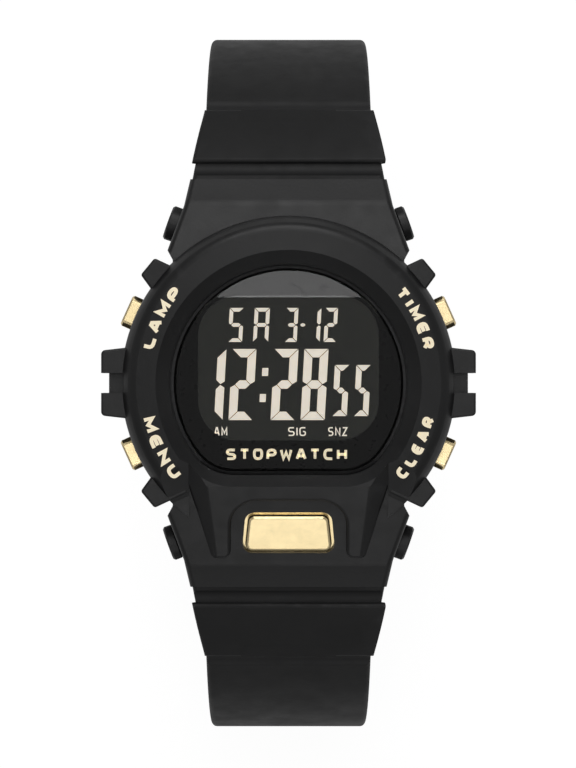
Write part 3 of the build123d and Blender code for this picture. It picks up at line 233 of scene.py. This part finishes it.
def board(name):
    """Green laminate with rows of lighter tracks and a fine weave."""
    material, tree, shader = new_material(name)
    place = object_coordinates(tree)
    tracks = node(tree, "ShaderNodeTexBrick")
    tracks.inputs["Scale"].default_value = 420.0
    tracks.inputs["Mortar Size"].default_value = 0.03
    tracks.inputs["Color1"].default_value = (0.012, 0.10, 0.04, 1)
    tracks.inputs["Color2"].default_value = (0.016, 0.13, 0.05, 1)
    tracks.inputs["Mortar"].default_value = (0.05, 0.24, 0.09, 1)
    tree.links.new(place, tracks.inputs["Vector"])
    tree.links.new(tracks.outputs["Color"], shader.inputs["Base Color"])
    weave = noise(tree, place, 1400.0, 2.0)
    tree.links.new(spread(tree, weave, 0.3, 0.45), shader.inputs["Roughness"])
    tree.links.new(bump(tree, weave, 0.2, FINE_DEPTH), shader.inputs["Normal"])
    return material


def display(name):
    """The dark display behind its polarising film, with a faint dot grain."""
    material, tree, shader = new_material(name)
    place = object_coordinates(tree)
    dots = node(tree, "ShaderNodeTexVoronoi")
    dots.inputs["Scale"].default_value = 5200.0
    tree.links.new(place, dots.inputs["Vector"])
    stops = [(0.1, (0.0130, 0.0138, 0.0078)), (0.8, (0.0118, 0.0125, 0.0070))]
    tree.links.new(ramp(tree, dots.outputs["Distance"], stops), shader.inputs["Base Color"])
    haze = noise(tree, place, 700.0, 3.0)
    tree.links.new(spread(tree, haze, 0.5, 0.6), shader.inputs["Roughness"])
    shader.inputs["Specular IOR Level"].default_value = 0.0
    return material


def ink(name, colour, rough, relief=0.1, glow=0.0):
    """Printed or filled ink: a little uneven in tone and surface, with a painted glow where one is given,
    so the print emits light though it is no lamp.
    """
    material, tree, shader = new_material(name)
    place = object_coordinates(tree)
    cloud = noise(tree, place, 1200.0, 4.0)
    dark = tuple(0.92 * c for c in colour)
    tree.links.new(ramp(tree, cloud, [(0.3, dark), (0.7, colour)]), shader.inputs["Base Color"])
    tree.links.new(spread(tree, cloud, rough * 0.85, rough * 1.15), shader.inputs["Roughness"])
    tree.links.new(bump(tree, cloud, relief, FINE_DEPTH), shader.inputs["Normal"])
    # Painted glow: the ink emits its own colour
    if glow:
        shader.inputs["Emission Color"].default_value = (*colour, 1)
        shader.inputs["Emission Strength"].default_value = glow
    return material


slots = {
    "guard_resin": resin("guard_resin", (0.0075, 0.0075, 0.0078), 0.38, 0.33),
    "case_resin": resin("case_resin", (0.009, 0.009, 0.0094), 0.5, 0.25, grain=3200.0),
    "strap_resin": resin("strap_resin", (0.0115, 0.0115, 0.0118), 0.5, 0.19, grain=2200.0, grain_depth=0.3),
    "glass": glass("glass"),
    "dark_rubber": plastic("dark_rubber", (0.018, 0.018, 0.019), 0.7, 2400.0, 0.3),
    "dial_print": plastic("dial_print", (0.022, 0.022, 0.0226), 0.3, 900.0, 0.0),
    "display_glass": display("display_glass"),
    "backlight_film": plastic("backlight_film", (0.72, 0.78, 0.76), 0.4),
    "module_plastic": plastic("module_plastic", (0.05, 0.05, 0.055), 0.45),
    "board_laminate": board("board_laminate"),
    "chip_epoxy": plastic("chip_epoxy", (0.018, 0.018, 0.018), 0.6, 3000.0, 0.3),
    "bright_metal": metal("bright_metal", (0.72, 0.72, 0.72), 0.16, 1200.0, 0.05),
    "contact_metal": metal("contact_metal", (0.62, 0.58, 0.5), 0.28, 900.0, 0.1, (1.0, 8.0, 8.0)),
    "spring_steel": metal("spring_steel", (0.55, 0.55, 0.55), 0.25, 2000.0, 0.1),
    "buzzer_brass": metal("buzzer_brass", (0.78, 0.6, 0.3), 0.3, 1500.0, 0.12, radial=True),
    "back_steel": metal("back_steel", (0.6, 0.6, 0.61), 0.27, 5200.0, 0.2, (0.6, 12.0, 12.0)),
    "screw_steel": metal("screw_steel", (0.56, 0.56, 0.57), 0.2, 1800.0, 0.08),
    "bar_steel": metal("bar_steel", (0.58, 0.58, 0.58), 0.22, 1500.0, 0.08, (9.0, 1.0, 1.0)),
    "gilt_metal": metal("gilt_metal", (0.87, 0.71, 0.41), 0.2, 1300.0, 0.04),
}
case_back_steel = metal("case_back_steel", (0.6, 0.6, 0.61), 0.26, 7000.0, 0.22, radial=True)
# Printed inks with a painted glow: the legends, the dial word and the display segments emit light though
# none is a lamp
legend_ink_painted_glow = ink("legend_ink_painted_glow", (1.0, 0.88, 0.64), 0.5, glow=0.15)
word_ink_painted_glow = ink("word_ink_painted_glow", (1.0, 0.88, 0.62), 0.45, glow=0.45)
segment_ink_painted_glow = ink("segment_ink_painted_glow", (0.95, 0.86, 0.73), 0.5, glow=0.45)

slot_of = {part["node"]: part["material_slot"] for part in frame["record"]["subparts"]}
for name, piece in frame["nodes"].items():
    piece.data.materials.clear()
    piece.data.materials.append(slots[slot_of[name]])
frame["nodes"]["case_back"].data.materials[0] = case_back_steel

# Print, drawn as thin meshes just above what carries it


def add_piece(name, points, faces, material):
    mesh = bpy.data.meshes.new(name)
    mesh.from_pydata(points, [], faces)
    mesh.materials.append(material)
    mesh.update()
    piece = bpy.data.objects.new(name, mesh)
    scene.collection.objects.link(piece)
    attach(piece, "watch")
    return piece


# Letters as strokes in a cell one wide and one high: each stroke lists its corners
GLYPHS = {
    "A": [[(0, 0), (0.4, 1), (0.6, 1), (1, 0)], [(0.16, 0.32), (0.84, 0.32)]],
    "C": [[(1, 1), (0, 1), (0, 0), (1, 0)]],
    "E": [[(1, 1), (0, 1), (0, 0), (1, 0)], [(0, 0.5), (0.92, 0.5)]],
    "G": [[(1, 1), (0, 1), (0, 0), (1, 0), (1, 0.5), (0.55, 0.5)]],
    "H": [[(0, 0), (0, 1)], [(1, 0), (1, 1)], [(0, 0.5), (1, 0.5)]],
    "I": [[(0, 0), (0, 1)]],
    "L": [[(0, 1), (0, 0), (1, 0)]],
    "M": [[(0, 0), (0, 1), (0.5, 0.3), (1, 1), (1, 0)]],
    "N": [[(0, 0), (0, 1), (1, 0), (1, 1)]],
    "O": [[(0.5, 1), (0, 1), (0, 0), (1, 0), (1, 1), (0.5, 1)]],
    "P": [[(0, 0), (0, 1), (1, 1), (1, 0.42), (0, 0.42)]],
    "R": [[(0, 0), (0, 1), (1, 1), (1, 0.42), (0, 0.42)], [(0.55, 0.42), (1, 0)]],
    "S": [[(1, 1), (0, 1), (0, 0.5), (1, 0.5), (1, 0), (0, 0)]],
    "T": [[(0, 1), (1, 1)], [(0.5, 1), (0.5, 0)]],
    "U": [[(0, 1), (0, 0), (1, 0), (1, 1)]],
    "W": [[(0, 1), (0.22, 0), (0.5, 0.75), (0.78, 0), (1, 1)]],
    "Z": [[(0, 1), (1, 1), (0, 0), (1, 0)]],
}
WIDTHS = {"I": 0.0, "A": 1.1, "M": 1.15, "W": 1.3}
SQUARE_CORNERS = "AMNWZ"
CORNER_STEPS = 4
CORNER_SHARE = 1.6
MITRE_LIMIT = 0.45
WORD_GAP_SHARE = 1.2


def rounded(points, radius):
    """A stroke's corners rounded: each becomes a short quadratic curve."""
    smooth = [points[0]]
    for before, corner, after in zip(points, points[1:], points[2:]):
        ends = []
        for other in (before, after):
            length = hypot(other[0] - corner[0], other[1] - corner[1])
            share = min(1 / 2, radius / length)
            ends.append(tuple(corner[k] + share * (other[k] - corner[k]) for k in (0, 1)))
        for step in range(CORNER_STEPS + 1):
            t = step / CORNER_STEPS
            pulls = ((ends[0], (1 - t) ** 2), (corner, 2 * t * (1 - t)), (ends[1], t**2))
            smooth.append(tuple(sum(pull * point[k] for point, pull in pulls) for k in (0, 1)))
    smooth.append(points[-1])
    return smooth


def ribbon(points, half):
    """A stroke of even width along its middle line, with mitred corners: points and faces."""
    sides = []
    for index, point in enumerate(points):
        ahead = points[min(index + 1, len(points) - 1)]
        behind = points[max(index - 1, 0)]
        directions = []
        for start, end in ((behind, point), (point, ahead)):
            length = hypot(end[0] - start[0], end[1] - start[1])
            if length > 0:
                directions.append(((end[0] - start[0]) / length, (end[1] - start[1]) / length))
        first, last = directions[0], directions[-1]
        middle = (first[0] + last[0], first[1] + last[1])
        length = hypot(*middle)
        normal = (-middle[1] / length, middle[0] / length)
        reach = half / max(MITRE_LIMIT, normal[0] * -first[1] + normal[1] * first[0])
        sides.append((point[0] + reach * normal[0], point[1] + reach * normal[1]))
        sides.append((point[0] - reach * normal[0], point[1] - reach * normal[1]))
    faces = [(2 * k, 2 * k + 1, 2 * k + 3, 2 * k + 2) for k in range(len(points) - 1)]
    return sides, faces


def letters(body, span, height, stroke, gap):
    """A word's mesh, centred, that fills a span and a height with strokes of one width."""
    cells = [WIDTHS.get(character, 1.0) for character in body]
    half = stroke / 2
    room = span - gap * (len(body) - 1) - stroke * len(body)
    unit = room / sum(cells)
    points = []
    faces = []
    left = -span / 2 + half
    for character, cell in zip(body, cells):
        for path in GLYPHS[character]:
            foot = half - height / 2
            scaled = [(left + x * cell * unit, foot + y * (height - stroke)) for x, y in path]
            smooth = scaled if character in SQUARE_CORNERS else rounded(scaled, CORNER_SHARE * stroke)
            sides, quads = ribbon(smooth, half)
            start = len(points)
            points += sides
            faces += [tuple(start + corner for corner in quad) for quad in quads]
        left += cell * unit + stroke + gap
    return points, faces


def flat_word(name, body, columns, rows, z, stroke, material):
    """A word that fills a box of pixels, flat at a height."""
    left, top = spot(columns[0], rows[0], z)
    right, bottom = spot(columns[1], rows[1], z)
    centre = ((left + right) / 2, (top + bottom) / 2)
    points, faces = letters(body, right - left, top - bottom, stroke, WORD_GAP_SHARE * stroke)
    placed = [(centre[0] + x, centre[1] + y, z) for x, y in points]
    return add_piece(name, placed, faces, material)


# Legends round the guard's face: the face falls a little from the opening to the crest
FACE_INNER = 14.6 * MM
FACE_OUTER = 17.3 * MM
FACE_DROP = 0.3 * MM
LEGEND_RADIUS = 15.95 * MM
LEGEND_HEIGHT = 1.35 * MM
LEGEND_SPAN = 7.4 * MM
LEGEND_STROKE = 0.41 * MM
LEGEND_LIFT = 0.02 * MM


def face_height(radius):
    return GUARD_TOP - FACE_DROP * (radius - FACE_INNER) / (FACE_OUTER - FACE_INNER)


def round_word(name, body, angle, inward):
    """A word bent round the face: its tops point outward, or inward for the lower two."""
    points, faces = letters(body, LEGEND_SPAN, LEGEND_HEIGHT, LEGEND_STROKE, LEGEND_STROKE)
    turn = 1 if inward else -1
    placed = []
    for along, up in points:
        theta = angle + turn * along / LEGEND_RADIUS
        radius = LEGEND_RADIUS - turn * up
        placed.append((radius * cos(theta), radius * sin(theta), face_height(radius) + LEGEND_LIFT))
    return add_piece(name, placed, faces, legend_ink_painted_glow)


LEGEND_ANGLE = radians(27.0)
round_word("legend_upper_left", "LAMP", pi - LEGEND_ANGLE, False)
round_word("legend_lower_left", "MENU", pi + LEGEND_ANGLE, True)
round_word("legend_upper_right", "TIMER", LEGEND_ANGLE, False)
round_word("legend_lower_right", "CLEAR", -LEGEND_ANGLE, True)

# Display: seven-segment signs as slanted strokes with thin gaps, placed in pixels of the photograph.
# A sign is its character and its columns, and each line of them has its rows and its stroke.
SEGMENTS = {
    "1": "bc", "2": "abged", "3": "abgcd", "5": "afgcd", "8": "abcdefg",
    "S": "afgcd", "A": "abcefg", "-": "g",
}
LEAN = 0.055
SEGMENT_GAP = 1.0
POINT_SHARE = 0.6
TIME_ROWS = (349.0, 420.0)
SECOND_ROWS = (365.0, 416.0)
DATE_ROWS = (308.0, 342.0)
TIME_STROKE = 8.4
SECOND_STROKE = 5.7
DATE_STROKE = 3.7
DASH_STROKE = 3.2
TIME_SIGNS = (("1", 204.0, 226.5), ("2", 228.5, 256.5), ("2", 270.5, 298.5), ("8", 300.5, 328.5))
SECOND_SIGNS = (("5", 332.0, 349.5), ("5", 353.5, 371.0))
DATE_SIGNS = (
    ("S", 228.0, 244.0), ("A", 253.0, 270.0), ("3", 284.5, 298.5), ("1", 308.0, 321.5), ("2", 323.5, 338.0),
)
DASH_SIGNS = (("-", 297.0, 308.5),)
COLON_MIDDLE = 384.0
COLON_DOTS = ((261.5, 267.6, 368.0, 376.0), (260.5, 266.6, 394.0, 402.0))
FLAG_ROWS = (427.0, 436.0)
FLAG_STROKE = 0.15 * MM
FLAGS = (
    ("flag_half_day", "AM", (214.0, 227.5)),
    ("flag_signal", "SIG", (288.0, 306.0)),
    ("flag_snooze", "SNZ", (328.0, 347.5)),
)
WORD_COLUMNS = (226.0, 347.0)
WORD_ROWS = (448.5, 460.0)
WORD_STROKE = 0.30 * MM
LCD_Z = LCD_TOP + 0.02 * MM
WORD_Z = MASK_TOP + 0.01 * MM
segment_points = []
segment_faces = []


def stroke_shape(segment, w, h, t):
    """The outline of one segment t thick in a sign's box w by h, from its lower left corner."""
    mid = h / 2
    half = t / 2
    g = SEGMENT_GAP / 2
    point = half * POINT_SHARE + g
    top = h - t - g
    shapes = {
        "a": [(g, h), (w - g, h), (w - t - g, h - t), (t + g, h - t)],
        "d": [(g, 0), (t + g, t), (w - t - g, t), (w - g, 0)],
        "f": [(0, h - g), (t, top), (t, mid + half + g), (half, mid + g), (0, mid + point)],
        "b": [(w, h - g), (w, mid + point), (w - half, mid + g), (w - t, mid + half + g), (w - t, top)],
        "e": [(0, g), (0, mid - point), (half, mid - g), (t, mid - half - g), (t, t + g)],
        "c": [(w, g), (w - t, t + g), (w - t, mid - half - g), (w - half, mid - g), (w, mid - point)],
        "g": [
            (half + g, mid), (t + g, mid + half), (w - t - g, mid + half),
            (w - half - g, mid), (w - t - g, mid - half), (t + g, mid - half),
        ],
    }
    return shapes[segment]


def put_polygon(shape, x_low, y_high):
    """One polygon in pixels: right and up from a corner, sheared by the lean."""
    start = len(segment_points)
    for x, y in shape:
        place = spot(x_low + x + y * LEAN, y_high - y, LCD_Z)
        segment_points.append((*place, LCD_Z))
    segment_faces.append(tuple(range(start, start + len(shape))))


def put_signs(signs, rows, stroke):
    """Seven-segment signs in one line."""
    height = rows[1] - rows[0]
    for character, x_low, x_high in signs:
        width = x_high - x_low - height * LEAN
        for segment in SEGMENTS[character]:
            put_polygon(stroke_shape(segment, width, height, stroke), x_low, rows[1])


def put_dot(x_low, x_high, y_low, y_high):
    """One dot of the colon, slanted as the signs are."""
    width, height = x_high - x_low, y_high - y_low
    shape = [(0, 0), (width, 0), (width, height), (0, height)]
    put_polygon(shape, x_low + (COLON_MIDDLE - y_high) * LEAN, y_high)


put_signs(TIME_SIGNS, TIME_ROWS, TIME_STROKE)
put_signs(SECOND_SIGNS, SECOND_ROWS, SECOND_STROKE)
put_signs(DATE_SIGNS, DATE_ROWS, DATE_STROKE)
put_signs(DASH_SIGNS, DATE_ROWS, DASH_STROKE)
for dot in COLON_DOTS:
    put_dot(*dot)
add_piece("lcd_segments", segment_points, segment_faces, segment_ink_painted_glow)

for name, body, columns in FLAGS:
    flat_word(name, body, columns, FLAG_ROWS, LCD_Z, FLAG_STROKE, segment_ink_painted_glow)
flat_word("dial_word", "STOPWATCH", WORD_COLUMNS, WORD_ROWS, WORD_Z, WORD_STROKE, word_ink_painted_glow)

# Floor, world and lights
FLOOR_REACH = 3
FLOOR_GLOW = 1.1
FLOOR_GLOW_SHARE = 0.85
WORLD_LIGHT = 0.3
WORLD_SEEN = 1.0


def floor():
    """The floor: lit as it is for the object, nearly plain white for the camera and through glass."""
    far = FLOOR_REACH
    points = [(-far, -far, 0), (far, -far, 0), (far, far, 0), (-far, far, 0)]
    mesh = bpy.data.meshes.new("floor")
    mesh.from_pydata(points, [], [(0, 1, 2, 3)])
    piece = bpy.data.objects.new("floor", mesh)
    scene.collection.objects.link(piece)
    material, tree, shader = new_material("floor")
    grain = noise(tree, object_coordinates(tree), 60.0, 3.0)
    tone = ramp(tree, grain, [(0.3, (0.80, 0.80, 0.80)), (0.7, (0.83, 0.83, 0.83))])
    tree.links.new(tone, shader.inputs["Base Color"])
    shader.inputs["Roughness"].default_value = 0.7
    ray = node(tree, "ShaderNodeLightPath")
    glow = node(tree, "ShaderNodeEmission")
    glow.inputs["Color"].default_value = (1, 1, 1, 1)
    glow.inputs["Strength"].default_value = FLOOR_GLOW
    mixed = node(tree, "ShaderNodeMixShader")
    seen = node(tree, "ShaderNodeMath", operation="MAXIMUM")
    tree.links.new(ray.outputs["Is Camera Ray"], seen.inputs[0])
    tree.links.new(ray.outputs["Is Transmission Ray"], seen.inputs[1])
    share = node(tree, "ShaderNodeMath", operation="MULTIPLY")
    share.inputs[1].default_value = FLOOR_GLOW_SHARE
    tree.links.new(seen.outputs["Value"], share.inputs[0])
    tree.links.new(share.outputs["Value"], mixed.inputs["Fac"])
    tree.links.new(shader.outputs["BSDF"], mixed.inputs[1])
    tree.links.new(glow.outputs["Emission"], mixed.inputs[2])
    tree.links.new(mixed.outputs["Shader"], tree.nodes["Material Output"].inputs["Surface"])
    mesh.materials.append(material)


floor()

world = bpy.data.worlds.new("world")
scene.world = world
world.use_nodes = True
world_tree = world.node_tree
background = world_tree.nodes["Background"]
ray = node(world_tree, "ShaderNodeLightPath")
white = node(world_tree, "ShaderNodeBackground")
white.inputs["Color"].default_value = (1, 1, 1, 1)
white.inputs["Strength"].default_value = WORLD_SEEN
background.inputs["Color"].default_value = (1, 1, 1, 1)
background.inputs["Strength"].default_value = WORLD_LIGHT
mix = node(world_tree, "ShaderNodeMixShader")
world_tree.links.new(ray.outputs["Is Camera Ray"], mix.inputs["Fac"])
world_tree.links.new(background.outputs["Background"], mix.inputs[1])
world_tree.links.new(white.outputs["Background"], mix.inputs[2])
world_tree.links.new(mix.outputs["Shader"], world_tree.nodes["World Output"].inputs["Surface"])


def lamp(name, place, aim, size, power):
    data = bpy.data.lights.new(name, "AREA")
    data.shape = "RECTANGLE"
    data.size, data.size_y = size
    data.energy = power
    lit = bpy.data.objects.new(name, data)
    lit.location = place
    lit.rotation_euler = (Vector(aim) - Vector(place)).to_track_quat("-Z", "Y").to_euler()
    scene.collection.objects.link(lit)


# Lamps that look at the watch: name, place, width and length, watts
AIM = (0, 0, 0.05)
AIMED_LAMPS = (
    ("back", (0.0, 0.55, 0.50), (0.5, 0.35), 1.4),
    ("front", (0.0, -0.34, 0.54), (0.34, 0.22), 0.21),
    ("low_front", (0.0, -0.55, 0.44), (0.4, 0.16), 0.25),
    ("side", (0.50, 0.05, 0.30), (0.2, 0.6), 0.08),
    ("side", (-0.50, 0.05, 0.30), (0.2, 0.6), 0.08),
)
for name, place, size, power in AIMED_LAMPS:
    lamp(name, place, AIM, size, power)

# Small lamps that look straight down from beside the glass
LAMP_HEIGHT = 0.66
SMALL_SIDE = 0.049
SMALL_SIZE = (0.03, 0.08)
SMALL_POWER = 0.006
for x in (SMALL_SIDE, -SMALL_SIDE):
    lamp("small_side", (x, 0, LAMP_HEIGHT), (x, 0, 0), SMALL_SIZE, SMALL_POWER)

# Soft boxes overhead: near edge, far edge, brightness. The near edges of the first three are where
# the glass's upper crescent starts and grows brighter.
BOX_WIDTH = 0.07
BOXES = (
    (0.021, 0.45, 2.1),
    (0.0225, 0.45, 1.3),
    (0.024, 0.45, 0.7),
    (0.032, 0.45, 4.4),
    (-0.025, -0.16, 3.8),
)
for near_y, far_y, brightness in BOXES:
    y = (near_y + far_y) / 2
    length = abs(far_y - near_y)
    power = brightness * pi * BOX_WIDTH * length
    lamp("overhead", (0, y, LAMP_HEIGHT), (0, y, 0), (BOX_WIDTH, length), power)
